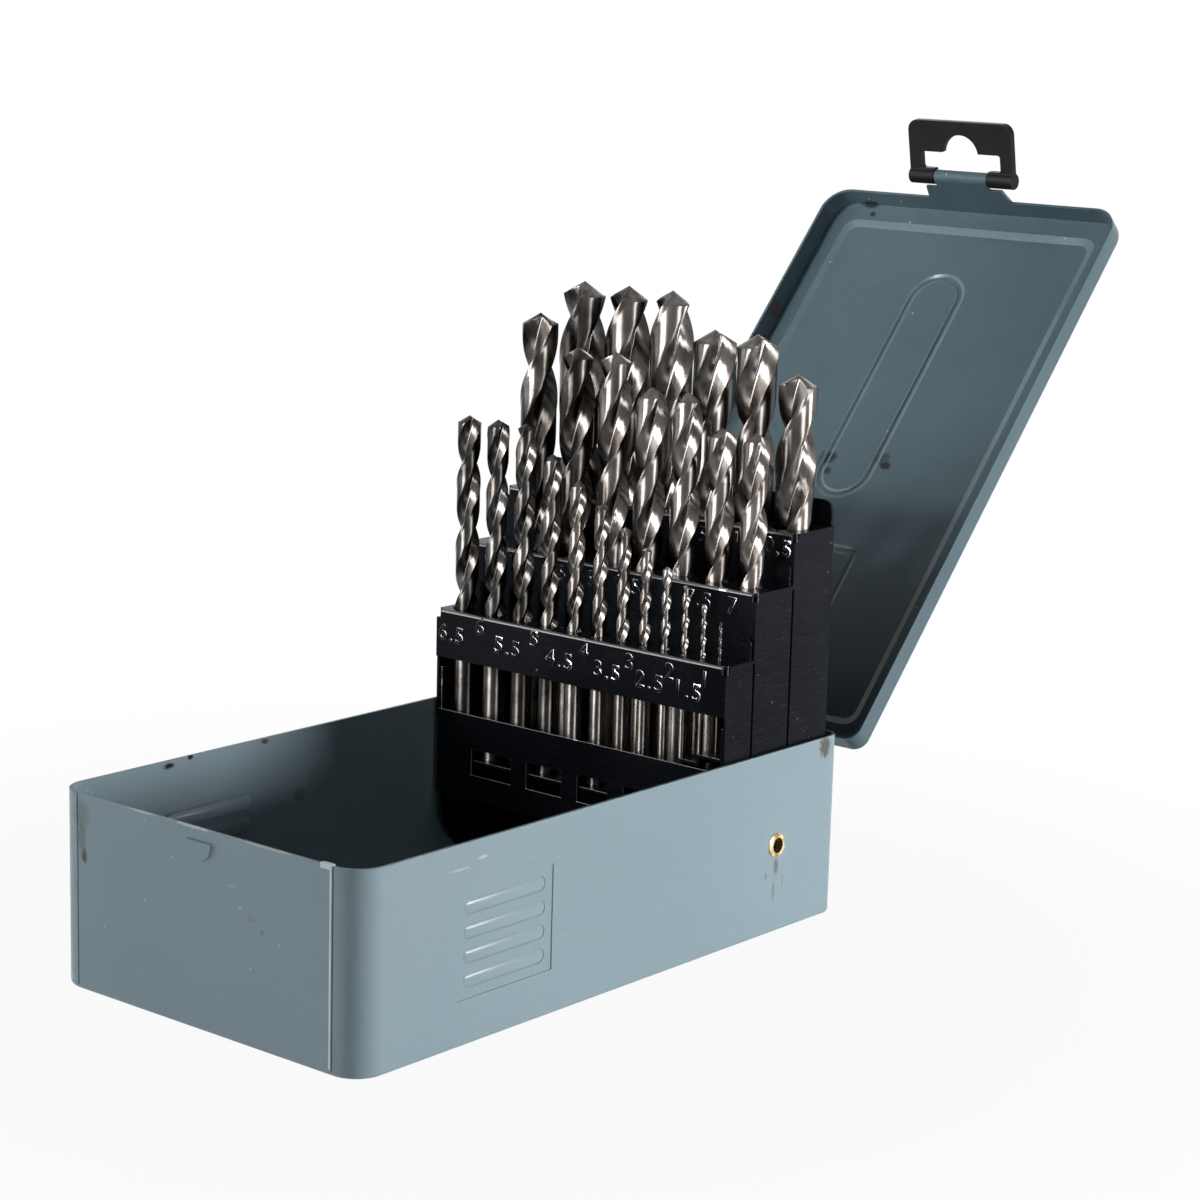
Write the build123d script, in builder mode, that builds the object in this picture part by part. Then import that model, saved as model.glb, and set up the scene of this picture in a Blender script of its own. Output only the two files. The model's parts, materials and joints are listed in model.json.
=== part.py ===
from build123d import *
from math import cos, pi, radians, sin, tan
import os

# A folded sheet-steel case for twenty-five twist drill bits. The lid lies open behind the case, and the
# three-tier rack stands upright on two eyelets. X runs to the right, Y to the hinge side, Z upwards, and
# the origin is the middle of the underside.

# ---- driving dimensions, in millimetres and degrees ----
case_width = 102.0
case_length = 181.0
case_height = 49.0
case_sheet = 0.8
front_corner_radius = 8.0
rear_corner_radius = 4.0
bottom_fold_radius = 1.2
seam_width = 0.4
seam_depth = 0.35

lid_depth = 6.6
lid_sheet = 0.8
lid_front_overhang = 1.6
lid_side_overhang = 0.2
lid_open_angle = 132.0
lid_rim_gap = 0.2
lid_field_inset = 6.0
lid_field_rise = 0.8
bead_width = 2.6
bead_wall = 0.7
bead_press = 0.6
round_bead_width = 19.0
round_bead_length = 81.5
round_bead_middle = 118.0
square_bead_width = 36.0
square_bead_length = 32.0
square_bead_middle = 46.0

hinge_drop = 3.0
hinge_pin_radius = 1.0
hinge_knuckle_radius = 2.2
hinge_width = 84.0
hinge_knuckle_count = 5
hinge_gap = 0.4
hinge_leaf_height = 9.0
hinge_ring_gap = 0.15
running_clearance = 0.05

tongue_base_width = 29.0
tongue_neck_width = 26.5
tongue_drop = 7.8
tongue_knuckle_width = 18.2
tongue_knuckle_radius = 2.15
tongue_pin_radius = 1.3

hanger_width = 36.0
hanger_reach = 17.0
hanger_thickness = 2.2
hanger_barrel_radius = 2.4
hanger_corner_radius = 3.2
hanger_slot_width = 27.6
hanger_slot_start = 2.6
hanger_slot_height = 5.0
hanger_arch_radius = 6.2
hanger_rest_fold = 53.0
hanger_window_radius = 0.8
hanger_end_wall = 1.2
hanger_notch = 6.2
hanger_side_gap = 0.2

catch_width = 8.4
catch_height = 5.0
catch_top_drop = 2.8
catch_rise = 0.7
catch_taper = 20.0

grip_front = 32.0
grip_length = 33.5
grip_height = 26.2
grip_base = 11.4
grip_rib_count = 4
grip_rib_pitch = 5.9
grip_rib_length = 26.5
grip_rib_width = 2.6
grip_press = 0.5
grip_panel_press = 0.25

pivot_from_rear = 26.9
pivot_height = 23.8
eyelet_radius = 2.5
eyelet_hole_radius = 2.05
eyelet_flange_radius = 3.25
eyelet_flange = 0.6
eyelet_play = 0.1
pivot_boss_radius = 5.6
pivot_boss_taper = 15.0
pivot_side_gap = 0.3

rack_sheet = 0.8
rack_side_gap = 0.6
tier_depths = [11.5, 15.6, 17.3]
tier_heights = [74.2, 91.3, 104.8]
floor_heights = [34.0, 21.8, 11.4]
front_flap = 13.2
side_flap_foot = 44.0
frame_top = 58.0
sweep_gap = 0.4
rear_flange = 6.8
flange_end_radius = 3.0
flange_end_inset = 0.6
relief_radius = 1.2
flap_slit = 0.8
lower_plate_top = 46.6
lower_plate_foot = 23.0
window_foot = 30.0
window_height = 7.2
window_bridge = 5.6
window_count = 4

bit_clearance = 0.45
bit_seat_gap = 0.05
bit_chamfer = 0.04
bit_point_angle = 118.0
bit_helix_angle = 30.0
flute_step = 45.0
# how much wider than the bit the blank is that its point is cut from
point_blank = 1.2
# one section of the flutes: the angles of a land, and the angle and share of the radius of a valley's points
land_angles = [0.0, 38.0, 76.0]
valley_points = [(104.0, 0.40), (142.0, 0.36)]

# ---- the bits: diameter, overall length and flute length of each tier, left to right ----
tier_bits = [
    [(6.5, 93, 57), (6.0, 93, 57), (5.5, 93, 57), (5.0, 86, 52), (4.5, 80, 47), (4.0, 75, 43),
     (3.5, 70, 39), (3.0, 61, 33), (2.5, 57, 30), (2.0, 49, 24), (1.5, 40, 18), (1.0, 34, 12)],
    [(10.0, 133, 87), (9.5, 125, 81), (9.0, 125, 81), (8.5, 117, 75), (8.0, 117, 75), (7.5, 109, 69),
     (7.0, 109, 69)],
    [(13.0, 151, 101), (12.5, 151, 101), (12.0, 151, 101), (11.5, 142, 94), (11.0, 142, 94),
     (10.5, 133, 87)],
]
# the space left free beside the first and last bit of each tier, from the rack's side to the bit's axis
tier_left_margins = [5.6, 18.2, 19.5]
tier_right_margins = [6.7, 7.6, 7.2]
# how far a short bit stands out of its plate: a start, and a growth for each millimetre of diameter
short_standout = 2.0
short_standout_growth = 7.8

# ---- places worked out from the sizes ----
front_y = -case_length / 2
rear_y = case_length / 2
side_x = case_width / 2
inner_side_x = side_x - case_sheet
pivot_y = rear_y - pivot_from_rear
rack_depth = sum(tier_depths)
rack_front_y = pivot_y - rack_depth / 2
rack_rear_y = pivot_y + rack_depth / 2
tier_fronts = [rack_front_y + sum(tier_depths[:n]) for n in range(3)]
tier_middles = [tier_fronts[n] + tier_depths[n] / 2 for n in range(3)]
rack_side_x = inner_side_x - rack_side_gap
cheek_x = rack_side_x - rack_sheet
cheek_inner_x = cheek_x - rack_sheet

hinge_y = rear_y + hinge_ring_gap + hinge_knuckle_radius
hinge_z = case_height - hinge_drop
lid_turn = radians(lid_open_angle)
# the lid's own frame: closed, it lines up with the case; its origin is on the hinge axis
lid_plane = Plane(origin=(0, hinge_y, hinge_z), x_dir=(1, 0, 0), z_dir=(0, sin(lid_turn), cos(lid_turn)))
lid_rear = rear_y - hinge_y
lid_front = front_y - lid_front_overhang - hinge_y
lid_length = lid_rear - lid_front
lid_middle = (lid_rear + lid_front) / 2
lid_width = case_width + 2 * lid_side_overhang
lid_rim = hinge_drop + lid_rim_gap
lid_top = lid_rim + lid_depth
knuckle_y = lid_front + lid_sheet - tongue_knuckle_radius
knuckle_z = lid_rim - tongue_drop


def on_lid(y, z):
    """A point of the lid's frame, given beside the hinge axis, in the case's frame."""
    return (hinge_y + y * cos(lid_turn) + z * sin(lid_turn), hinge_z - y * sin(lid_turn) + z * cos(lid_turn))


hanger_y, hanger_z = on_lid(knuckle_y, knuckle_z)
hanger_turn = lid_turn - radians(hanger_rest_fold)
# the hanger's frame: -Y points from its axis along the plate
hanger_plane = Plane(
    origin=(0, hanger_y, hanger_z), x_dir=(1, 0, 0), z_dir=(0, sin(hanger_turn), cos(hanger_turn))
)


def row_places(bits, left, right):
    """The bits' places along a tier: the gap between neighbours is the same all along it."""
    first = -rack_side_x + left
    last = rack_side_x - right
    steps = [(a[0] + b[0]) / 2 for a, b in zip(bits, bits[1:])]
    gap = (last - first - sum(steps)) / len(steps)
    places = [first]
    for step in steps:
        places.append(places[-1] + step + gap)
    return places


tier_places = [row_places(tier_bits[n], tier_left_margins[n], tier_right_margins[n]) for n in range(3)]


def seat_height(tier, bit):
    """A bit stands on its tier's floor, and a short one at the front on a step, so that its point shows."""
    diameter, length, flute = bit
    standout = short_standout + short_standout_growth * diameter
    stepped = tier_heights[0] + standout - length
    return max(floor_heights[0], stepped) if tier == 0 else floor_heights[tier]


os.makedirs("parts", exist_ok=True)


def finish(builder, name, colour):
    """Labels a finished piece and writes it to its file."""
    builder.part.label = name
    builder.part.color = Color(*colour)
    export_step(builder.part, f"parts/{name}.step")


paint = (0.50, 0.57, 0.60)
rack_black = (0.12, 0.12, 0.14)
steel = (0.72, 0.70, 0.68)
brass = (0.80, 0.65, 0.35)
plastic = (0.13, 0.13, 0.13)


def tray_outline(width, length, front_radius, rear_radius):
    """A closed outline about the middle of the builder's plane, with larger corners at the front (-Y)."""
    with BuildSketch() as outline:
        Rectangle(width, length)
        corners = outline.vertices()
        fillet(corners.group_by(Axis.Y)[0], front_radius)
        fillet(outline.vertices().group_by(Axis.Y)[-1], rear_radius)
    return outline.sketch


# ---- case body: floor and walls ----
with BuildPart() as case_body:
    add(tray_outline(case_width, case_length, front_corner_radius, rear_corner_radius))
    extrude(amount=case_height)
    fillet(case_body.edges().group_by(Axis.Z)[0], bottom_fold_radius)
    with BuildSketch(Plane.XY.offset(case_sheet)):
        add(
            tray_outline(
                case_width - 2 * case_sheet,
                case_length - 2 * case_sheet,
                front_corner_radius - case_sheet,
                rear_corner_radius - case_sheet,
            )
        )
    extrude(amount=case_height, mode=Mode.SUBTRACT)
    # the seams where the side walls wrap round the front corners and meet the front panel
    with BuildSketch(Plane.XZ.offset(-front_y)):
        seam_height = case_height - bottom_fold_radius
        seam_x = side_x - front_corner_radius
        with Locations((-seam_x, case_height - seam_height / 2), (seam_x, case_height - seam_height / 2)):
            Rectangle(seam_width, seam_height)
    extrude(amount=-seam_depth, mode=Mode.SUBTRACT)
    # the pressed grip panels: four ribs in a shallow rectangle on each side
    grip_y = front_y + grip_front + grip_length / 2
    grip_z = grip_base + grip_height / 2
    for side in (-1, 1):
        outward = Plane(origin=(side * side_x, grip_y, grip_z), x_dir=(0, side, 0), z_dir=(side, 0, 0))
        with BuildSketch(outward):
            Rectangle(grip_length, grip_height)
        extrude(amount=-grip_panel_press, mode=Mode.SUBTRACT)
        with BuildSketch(outward.offset(-grip_panel_press)):
            with GridLocations(0, grip_rib_pitch, 1, grip_rib_count):
                SlotOverall(grip_rib_length, grip_rib_width)
        extrude(amount=-grip_press, mode=Mode.SUBTRACT)
        with BuildSketch(outward.offset(-case_sheet)):
            with GridLocations(0, grip_rib_pitch, 1, grip_rib_count):
                SlotOverall(grip_rib_length + 2 * grip_press, grip_rib_width + 2 * grip_press)
        extrude(amount=-grip_press)
        # the hole for the rack's eyelet
        with BuildSketch(Plane(origin=(side * side_x, pivot_y, pivot_height), z_dir=(side, 0, 0))):
            Circle(eyelet_radius + running_clearance)
        extrude(amount=-case_sheet, mode=Mode.SUBTRACT)
    # the catch on the front wall: a ramp that stands out furthest at its round foot
    catch_foot = case_height - catch_top_drop - catch_height
    with BuildSketch(Plane.XZ.offset(-front_y)):
        with Locations((0, catch_foot + catch_width / 2)):
            Circle(catch_width / 2)
        with Locations((0, catch_foot + catch_height + catch_width / 2)):
            Rectangle(catch_width, catch_width, mode=Mode.SUBTRACT)
    extrude(amount=catch_rise, taper=catch_taper)
finish(case_body, "case_body", paint)


# ---- hinge ----
knuckle_pitch = hinge_width / hinge_knuckle_count
knuckle_width = knuckle_pitch - hinge_gap
knuckle_places = [-hinge_width / 2 + knuckle_pitch * (n + 0.5) for n in range(hinge_knuckle_count)]

with BuildPart() as hinge_leaf:
    for x in knuckle_places[0::2]:
        with BuildSketch(Plane(origin=(x - knuckle_width / 2, 0, 0), x_dir=(0, 1, 0), z_dir=(1, 0, 0))):
            with Locations((hinge_y, hinge_z)):
                Circle(hinge_knuckle_radius)
            with Locations((rear_y + case_sheet / 2, hinge_z - hinge_leaf_height / 2)):
                Rectangle(case_sheet, hinge_leaf_height)
            with Locations((hinge_y, hinge_z)):
                Circle(hinge_pin_radius + running_clearance, mode=Mode.SUBTRACT)
        extrude(amount=knuckle_width)
    leaf_band = hinge_leaf_height - hinge_knuckle_radius - hinge_gap
    with BuildSketch(Plane.XZ.offset(-rear_y)):
        with Locations((0, hinge_z - hinge_leaf_height + leaf_band / 2)):
            Rectangle(hinge_width - hinge_gap, leaf_band)
    extrude(amount=-case_sheet)
finish(hinge_leaf, "hinge_leaf", paint)

with BuildPart() as hinge_pin:
    with BuildSketch(Plane(origin=(-hinge_width / 2, hinge_y, hinge_z), z_dir=(1, 0, 0))):
        Circle(hinge_pin_radius)
    extrude(amount=hinge_width)
finish(hinge_pin, "hinge_pin", steel)


# ---- lid: a shallow pan, with a raised field, plain beads, hinge knuckles and the tongue ----
field_width = lid_width - 2 * lid_field_inset
field_length = lid_length - 2 * lid_field_inset
field_radius = front_corner_radius - lid_field_inset / 2
lid_outward = (0, -cos(lid_turn), sin(lid_turn))


def side_plane(x):
    """A plane square to X: its first axis is the case's Y, and its second is Z."""
    return Plane(origin=(x, 0, 0), x_dir=(0, 1, 0), z_dir=(1, 0, 0))


def lid_side_plane(x):
    """The same for the lid's frame, from the hinge axis."""
    return Plane(origin=(x, hinge_y, hinge_z), x_dir=(0, cos(lid_turn), -sin(lid_turn)), z_dir=(1, 0, 0))


with BuildPart() as lid:
    with BuildSketch(lid_plane.offset(lid_rim)):
        with Locations((0, lid_middle)):
            add(tray_outline(lid_width, lid_length, front_corner_radius, rear_corner_radius))
    extrude(amount=lid_depth)
    top_face = lid.faces().sort_by(Axis(lid_plane.origin, lid_plane.z_dir))[-1]
    fillet(top_face.edges(), 2 * lid_sheet)
    with BuildSketch(lid_plane.offset(lid_top)):
        with Locations((0, lid_middle)):
            RectangleRounded(field_width, field_length, field_radius)
    extrude(amount=lid_field_rise)
    # the two plain beads that stiffen the field
    with BuildSketch(lid_plane.offset(lid_top + lid_field_rise)):
        with Locations((0, lid_rear - round_bead_middle)):
            SlotOverall(round_bead_length, round_bead_width, rotation=90)
            SlotOverall(
                round_bead_length - 2 * bead_width,
                round_bead_width - 2 * bead_width,
                rotation=90,
                mode=Mode.SUBTRACT,
            )
        with Locations((0, lid_rear - square_bead_middle)):
            RectangleRounded(square_bead_width, square_bead_length, bead_width)
            Rectangle(
                square_bead_width - 2 * bead_width, square_bead_length - 2 * bead_width, mode=Mode.SUBTRACT
            )
    extrude(amount=bead_press)
    # the hollow, under the rim's plate and under the field
    with BuildSketch(lid_plane.offset(lid_rim)):
        with Locations((0, lid_middle)):
            add(
                tray_outline(
                    lid_width - 2 * lid_sheet,
                    lid_length - 2 * lid_sheet,
                    front_corner_radius - lid_sheet,
                    rear_corner_radius - lid_sheet,
                )
            )
    extrude(amount=lid_depth - lid_sheet, mode=Mode.SUBTRACT)
    with BuildSketch(lid_plane.offset(lid_top - lid_sheet)):
        with Locations((0, lid_middle)):
            RectangleRounded(
                field_width - 2 * lid_sheet, field_length - 2 * lid_sheet, field_radius - lid_sheet
            )
    extrude(amount=lid_field_rise, mode=Mode.SUBTRACT)
    with BuildSketch(lid_plane.offset(lid_top + lid_field_rise - lid_sheet)):
        groove = bead_width - 2 * bead_wall
        with Locations((0, lid_rear - round_bead_middle)):
            SlotOverall(round_bead_length - 2 * bead_wall, round_bead_width - 2 * bead_wall, rotation=90)
            SlotOverall(
                round_bead_length - 2 * bead_wall - 2 * groove,
                round_bead_width - 2 * bead_wall - 2 * groove,
                rotation=90,
                mode=Mode.SUBTRACT,
            )
        with Locations((0, lid_rear - square_bead_middle)):
            Rectangle(square_bead_width - 2 * bead_wall, square_bead_length - 2 * bead_wall)
            Rectangle(
                square_bead_width - 2 * bead_wall - 2 * groove,
                square_bead_length - 2 * bead_wall - 2 * groove,
                mode=Mode.SUBTRACT,
            )
    extrude(amount=bead_press, mode=Mode.SUBTRACT)
    # the tongue, hanging from the front skirt, and the knuckle rolled at its end
    with BuildSketch(Plane(origin=(0, *on_lid(lid_front, 0)), x_dir=(1, 0, 0), z_dir=lid_outward)):
        neck_z = knuckle_z + hanger_barrel_radius + hanger_side_gap
        half_outline = [
            (tongue_base_width / 2, lid_rim + lid_sheet),
            (tongue_base_width / 2, lid_rim),
            (tongue_neck_width / 2, neck_z),
            (tongue_knuckle_width / 2, neck_z),
            (tongue_knuckle_width / 2, knuckle_z),
        ]
        Polygon(*half_outline, *[(-x, z) for x, z in reversed(half_outline)], align=None)
    extrude(amount=-lid_sheet)
    with BuildSketch(side_plane(-tongue_knuckle_width / 2)):
        with Locations((hanger_y, hanger_z)):
            Circle(tongue_knuckle_radius)
    extrude(amount=tongue_knuckle_width)
    with BuildSketch(side_plane(-tongue_knuckle_width / 2)):
        with Locations((hanger_y, hanger_z)):
            Circle(tongue_pin_radius + running_clearance)
    extrude(amount=tongue_knuckle_width, mode=Mode.SUBTRACT)
    # the lid's share of the hinge knuckles, each on a leaf up the rear skirt
    for x in knuckle_places[1::2]:
        with BuildSketch(lid_side_plane(x - knuckle_width / 2)):
            Circle(hinge_knuckle_radius)
            with Locations((-hinge_knuckle_radius, 0)):
                Rectangle(case_sheet, lid_rim, align=(Align.MIN, Align.MIN))
            with Locations((lid_rear, lid_rim)):
                Rectangle(
                    case_sheet + hinge_ring_gap, lid_depth - 2 * lid_sheet, align=(Align.MIN, Align.MIN)
                )
            Circle(hinge_pin_radius + running_clearance, mode=Mode.SUBTRACT)
        extrude(amount=knuckle_width)
finish(lid, "lid", paint)


# ---- hanger: a moulded plate with a hook window, turning on a pin in the tongue's knuckle ----
barrel_start = tongue_knuckle_width / 2 + hanger_side_gap
barrel_length = hanger_width / 2 - barrel_start
pin_reach = hanger_width / 2 - hanger_end_wall
with BuildPart() as hanger:
    with BuildSketch(hanger_plane.offset(-hanger_thickness / 2)) as hanger_outline:
        with Locations((0, -hanger_reach / 2)):
            Rectangle(hanger_width, hanger_reach)
        fillet(hanger_outline.vertices().group_by(Axis.Y)[0], hanger_corner_radius)
        window_middle = -hanger_slot_start - hanger_slot_height / 2
        with Locations((0, window_middle)):
            RectangleRounded(
                hanger_slot_width, hanger_slot_height, hanger_window_radius, mode=Mode.SUBTRACT
            )
        with Locations((0, -hanger_slot_start - hanger_slot_height + hanger_window_radius)):
            Circle(hanger_arch_radius, mode=Mode.SUBTRACT)
        with Locations((0, -hanger_slot_start / 2)):
            Rectangle(2 * barrel_start, hanger_notch, mode=Mode.SUBTRACT)
    extrude(amount=hanger_thickness)
    for side in (-1, 1):
        start = min(side * barrel_start, side * hanger_width / 2)
        with BuildSketch(side_plane(start)):
            with Locations((hanger_y, hanger_z)):
                Circle(hanger_barrel_radius)
        extrude(amount=barrel_length)
    with BuildSketch(side_plane(-pin_reach)):
        with Locations((hanger_y, hanger_z)):
            Circle(tongue_pin_radius + running_clearance)
    extrude(amount=2 * pin_reach, mode=Mode.SUBTRACT)
finish(hanger, "hanger", plastic)

with BuildPart() as hanger_pin:
    with BuildSketch(side_plane(-pin_reach)):
        with Locations((hanger_y, hanger_z)):
            Circle(tongue_pin_radius)
    extrude(amount=2 * pin_reach)
finish(hanger_pin, "hanger_pin", steel)


# ---- rack frame: two cheeks that turn on the eyelets, joined by the back ----
boss_rise = rack_side_gap + rack_sheet - pivot_side_gap
# as the rack folds down, its front foot sweeps over the case's floor, and its rear foot past the rear wall
floor_sweep = pivot_height - case_sheet - sweep_gap
wall_sweep = pivot_from_rear - case_sheet - 2 * sweep_gap
with BuildPart() as rack_frame:
    for side in (-1, 1):
        start = min(side * cheek_x, side * cheek_inner_x)
        for foot_y, reach in ((rack_front_y + rack_sheet, floor_sweep), (rack_rear_y, wall_sweep)):
            with BuildSketch(side_plane(start)):
                with Locations(((foot_y + pivot_y) / 2, pivot_height - floor_sweep / 2)):
                    Rectangle(abs(foot_y - pivot_y), floor_sweep)
                with Locations((pivot_y, pivot_height)):
                    Circle(reach, mode=Mode.INTERSECT)
            extrude(amount=rack_sheet)
        with BuildSketch(side_plane(start)):
            with Locations((pivot_y + rack_sheet / 2, (frame_top + pivot_height) / 2)):
                Rectangle(rack_depth - rack_sheet, frame_top - pivot_height)
        extrude(amount=rack_sheet)
        # the pressed boss that keeps the cheek off the case wall, hollow on its inner side
        cheek = Plane(origin=(side * cheek_inner_x, pivot_y, pivot_height), z_dir=(side, 0, 0))
        with BuildSketch(cheek.offset(rack_sheet)):
            Circle(pivot_boss_radius)
        extrude(amount=boss_rise, taper=pivot_boss_taper)
        with BuildSketch(cheek):
            Circle(pivot_boss_radius - rack_sheet)
        extrude(amount=boss_rise, mode=Mode.SUBTRACT)
        with BuildSketch(cheek):
            Circle(eyelet_radius + running_clearance)
        extrude(amount=boss_rise + rack_sheet, mode=Mode.SUBTRACT)
    back_top = tier_heights[2] - rack_sheet
    with BuildSketch(Plane.XZ.offset(-rack_rear_y)):
        with Locations((0, (pivot_height + back_top) / 2)):
            Rectangle(2 * cheek_x, back_top - pivot_height)
    extrude(amount=rack_sheet)
finish(rack_frame, "rack_frame", rack_black)


# ---- eyelets: hollow rivets through the case walls and the cheeks ----
def eyelet(side):
    outer_face = side_x + eyelet_flange
    inner_face = cheek_inner_x + boss_rise - eyelet_play
    profile_plane = Plane(origin=(0, pivot_y, pivot_height), x_dir=(side, 0, 0), z_dir=(0, -side, 0))
    with BuildPart() as rivet:
        with BuildSketch(profile_plane):
            with BuildLine():
                Polyline(
                    (inner_face - eyelet_flange, eyelet_hole_radius),
                    (outer_face, eyelet_hole_radius),
                    (outer_face, eyelet_flange_radius - eyelet_flange / 2),
                    (outer_face - eyelet_flange / 2, eyelet_flange_radius),
                    (side_x, eyelet_flange_radius),
                    (side_x, eyelet_radius),
                    (inner_face, eyelet_radius),
                    (inner_face, eyelet_flange_radius),
                    (inner_face - eyelet_flange, eyelet_flange_radius - eyelet_flange / 2),
                    close=True,
                )
            make_face()
        revolve(axis=Axis((0, pivot_y, pivot_height), (1, 0, 0)))
    return rivet


finish(eyelet(-1), "eyelet_left", brass)
finish(eyelet(1), "eyelet_right", brass)


# ---- rack floor: a stepped sheet that the bits stand on ----
with BuildPart() as rack_floor:
    with BuildSketch(side_plane(-cheek_inner_x)):
        for n in range(3):
            seat_start = tier_fronts[n] + (rack_sheet if n == 0 else 0)
            seat_end = rack_rear_y - rack_sheet if n == 2 else tier_fronts[n + 1] + rack_sheet
            with Locations((seat_start, floor_heights[n] - rack_sheet)):
                Rectangle(seat_end - seat_start, rack_sheet, align=(Align.MIN, Align.MIN))
            if n < 2:
                riser = floor_heights[n] - floor_heights[n + 1] + rack_sheet
                with Locations((tier_fronts[n + 1], floor_heights[n + 1] - rack_sheet)):
                    Rectangle(rack_sheet, riser, align=(Align.MIN, Align.MIN))
    extrude(amount=2 * cheek_inner_x)
finish(rack_floor, "rack_floor", rack_black)


# ---- the raised step under the short bits of the front tier ----
front_places = tier_places[0]
front_bits = tier_bits[0]
seats = [seat_height(0, bit) for bit in front_bits]
short_ones = [n for n, seat in enumerate(seats) if seat > floor_heights[0]]
with BuildPart() as short_bit_step:
    with BuildSketch(Plane.XZ.offset(-rack_front_y - rack_sheet)):
        below = floor_heights[0]
        for n in short_ones:
            start = (front_places[n - 1] + front_places[n]) / 2
            after = n + 1
            if after < len(front_places):
                end = (front_places[n] + front_places[after]) / 2 + rack_sheet
            else:
                end = cheek_inner_x
            with Locations((start, seats[n] - rack_sheet)):
                Rectangle(end - start, rack_sheet, align=(Align.MIN, Align.MIN))
            with Locations((start, below)):
                Rectangle(rack_sheet, seats[n] - below, align=(Align.MIN, Align.MIN))
            below = seats[n] - rack_sheet
    extrude(amount=-(tier_depths[0] - rack_sheet))
finish(short_bit_step, "short_bit_step", rack_black)


# ---- lower front plate, with a window before each pair of bits ----
with BuildPart() as rack_front_plate:
    with BuildSketch(Plane.XZ.offset(-rack_front_y)):
        with Locations((0, (lower_plate_foot + lower_plate_top) / 2)):
            Rectangle(2 * cheek_x, lower_plate_top - lower_plate_foot)
        for n in range(1, 2 * window_count, 2):
            start = (front_places[n - 1] + front_places[n]) / 2 + window_bridge / 2
            end = (front_places[n + 1] + front_places[n + 2]) / 2 - window_bridge / 2
            with Locations((start, window_foot)):
                Rectangle(end - start, window_height, align=(Align.MIN, Align.MIN), mode=Mode.SUBTRACT)
    extrude(amount=-rack_sheet)
finish(rack_front_plate, "rack_front_plate", rack_black)


# ---- tiers: each a folded sheet, with a flap down the front, one down each side and a flange up behind ----
def tier_sheet(n):
    height = tier_heights[n]
    start = tier_fronts[n]
    end = start + tier_depths[n]
    middle = tier_middles[n]
    front_drop = front_flap if n == 0 else height - tier_heights[n - 1] + rack_sheet
    with BuildPart() as tier:
        with BuildSketch(Plane.XY.offset(height)):
            with Locations((0, middle)):
                Rectangle(2 * rack_side_x, tier_depths[n])
        extrude(amount=-rack_sheet)
        with BuildSketch(Plane.XZ.offset(-start)):
            with Locations((0, height - front_drop / 2)):
                Rectangle(2 * rack_side_x, front_drop)
        extrude(amount=-rack_sheet)
        for side in (-1, 1):
            outer = min(side * rack_side_x, side * cheek_x)
            with BuildSketch(side_plane(outer)):
                drop = height - side_flap_foot
                with Locations((middle, height - drop / 2)):
                    Rectangle(tier_depths[n] - flap_slit, drop)
            extrude(amount=rack_sheet)
        folds = tier.edges().group_by(Axis.Z)[-1].filter_by(Axis.X).sort_by(Axis.Y)[0:1]
        fillet(folds, rack_sheet)
        with BuildSketch(Plane.XZ.offset(-end)):
            with Locations((0, height + rear_flange / 2)):
                flange = Rectangle(2 * (rack_side_x - flange_end_inset), rear_flange)
            fillet(flange.vertices().group_by(Axis.Y)[-1], flange_end_radius)
        extrude(amount=rack_sheet)
        with BuildSketch(Plane.XY.offset(height)):
            for x in (-rack_side_x + rack_sheet / 2, rack_side_x - rack_sheet / 2):
                with Locations((x, start + rack_sheet / 2)):
                    Circle(relief_radius)
        extrude(amount=-2 * relief_radius, mode=Mode.SUBTRACT)
        with BuildSketch(Plane.XY.offset(height)):
            for bit, x in zip(tier_bits[n], tier_places[n]):
                with Locations((x, middle)):
                    Circle(bit[0] / 2 + bit_clearance)
        extrude(amount=-rack_sheet, mode=Mode.SUBTRACT)
    return tier


tier_names = ["tier_front", "tier_middle", "tier_rear"]
for n in range(3):
    finish(tier_sheet(n), tier_names[n], rack_black)


# ---- the twist drill bits ----
def flute_ring(radius, turn, x, y, z):
    """The corners of one section of the fluted body: two lands, with a valley after each."""
    one_side = [(angle, 1.0) for angle in land_angles] + valley_points
    ring = []
    for half_turn in (0, 180):
        for angle, share in one_side:
            around = radians(turn + half_turn + angle)
            ring.append((x + radius * share * cos(around), y + radius * share * sin(around), z))
    return ring


def facet(*corners):
    return Face(Wire.make_polygon(corners))


def fluted_body(radius, length, turn, x, y, z):
    """A closed body of flat facets between turned sections, creased along the helix."""
    steps = round(turn / flute_step)
    rings = [flute_ring(radius, turn * n / steps, x, y, z + length * n / steps) for n in range(steps + 1)]
    facets = [facet(*rings[0]), facet(*rings[-1])]
    for low, high in zip(rings, rings[1:]):
        for n in range(len(low)):
            after = (n + 1) % len(low)
            facets.append(facet(low[n], low[after], high[n]))
            facets.append(facet(low[after], high[after], high[n]))
    return Solid(Shell(facets))


def twist_bit(diameter, length, flute, x, y, z):
    """A bit standing on its shank: two right-hand flutes and a conical point."""
    radius = diameter / 2
    lead = pi * diameter / tan(radians(bit_helix_angle))
    shank = length - flute
    point_slope = 1 / tan(radians(bit_point_angle / 2))
    with BuildPart() as bit:
        add(fluted_body(radius, flute, 360 * flute / lead, x, y, z + shank))
        with BuildSketch(Plane(origin=(x, y, z), x_dir=(1, 0, 0), z_dir=(0, -1, 0))):
            wide = point_blank * radius
            Polygon((0, 0), (wide, 0), (wide, length - wide * point_slope), (0, length), align=None)
        revolve(axis=Axis((x, y, 0), (0, 0, 1)), mode=Mode.INTERSECT)
        with BuildSketch(Plane.XY.offset(z)):
            with Locations((x, y)):
                Circle(radius)
        extrude(amount=shank)
        chamfer(bit.edges().group_by(Axis.Z)[0], bit_chamfer * diameter)
    return bit


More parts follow.
